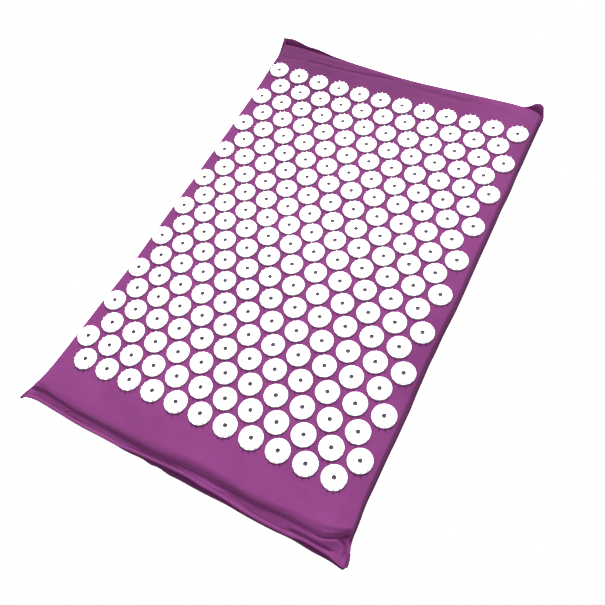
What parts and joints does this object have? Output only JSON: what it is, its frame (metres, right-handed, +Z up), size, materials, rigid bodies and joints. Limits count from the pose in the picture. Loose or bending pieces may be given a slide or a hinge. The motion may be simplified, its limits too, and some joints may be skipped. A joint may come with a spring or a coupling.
{
  "type": "acupressure mat",
  "caption": "Flat padded mat: a cotton cover with a foam core and a hook-and-loop mouth at one short end, its top covered with staggered rows of round spiked plastic discs.",
  "frame": {"origin": "on the floor, in the middle of the whole mat's outline, at the centre of the flat underside", "axes": "+X across the mat, +Y along it from the mouth towards the closed end, +Z up, away from the floor and out of the spiked face"},
  "size_m": [0.409, 0.6492, 0.0269],
  "materials": {
    "cotton": "matt woven cotton canvas, purple",
    "foam": "open-cell foam, cream",
    "tape": "hook and loop tape, dark purple",
    "abs_white": "moulded ABS, white, half gloss"
  },
  "bodies": {
    "mat": {"top_panel": "cotton", "bottom_panel": "cotton", "foam_core": "foam", "lower_lip": "cotton", "loop_tape": "tape", "spike_disc_row1_01": "abs_white", "spike_disc_row1_02": "abs_white", "spike_disc_row1_03": "abs_white", "spike_disc_row1_04": "abs_white", "spike_disc_row1_05": "abs_white", "spike_disc_row1_06": "abs_white", "spike_disc_row1_07": "abs_white", "spike_disc_row1_08": "abs_white", "spike_disc_row1_09": "abs_white", "spike_disc_row1_10": "abs_white", "spike_disc_row1_11": "abs_white", "spike_disc_row2_01": "abs_white", "spike_disc_row2_02": "abs_white", "spike_disc_row2_03": "abs_white", "spike_disc_row2_04": "abs_white", "spike_disc_row2_05": "abs_white", "spike_disc_row2_06": "abs_white", "spike_disc_row2_07": "abs_white", "spike_disc_row2_08": "abs_white", "spike_disc_row2_09": "abs_white", "spike_disc_row2_10": "abs_white", "spike_disc_row2_11": "abs_white", "spike_disc_row2_12": "abs_white"},
    "mouth_flap": {"upper_lip": "cotton", "hook_tape": "tape"}
  },
  "joints": [
    {"name": "mouth_hinge", "type": "hinge", "parent": "mat", "child": "mouth_flap", "pos_m": [0, -0.30695, 0.01355], "axis": [-1, 0, 0], "range_deg": [0, 90]}
  ]
}
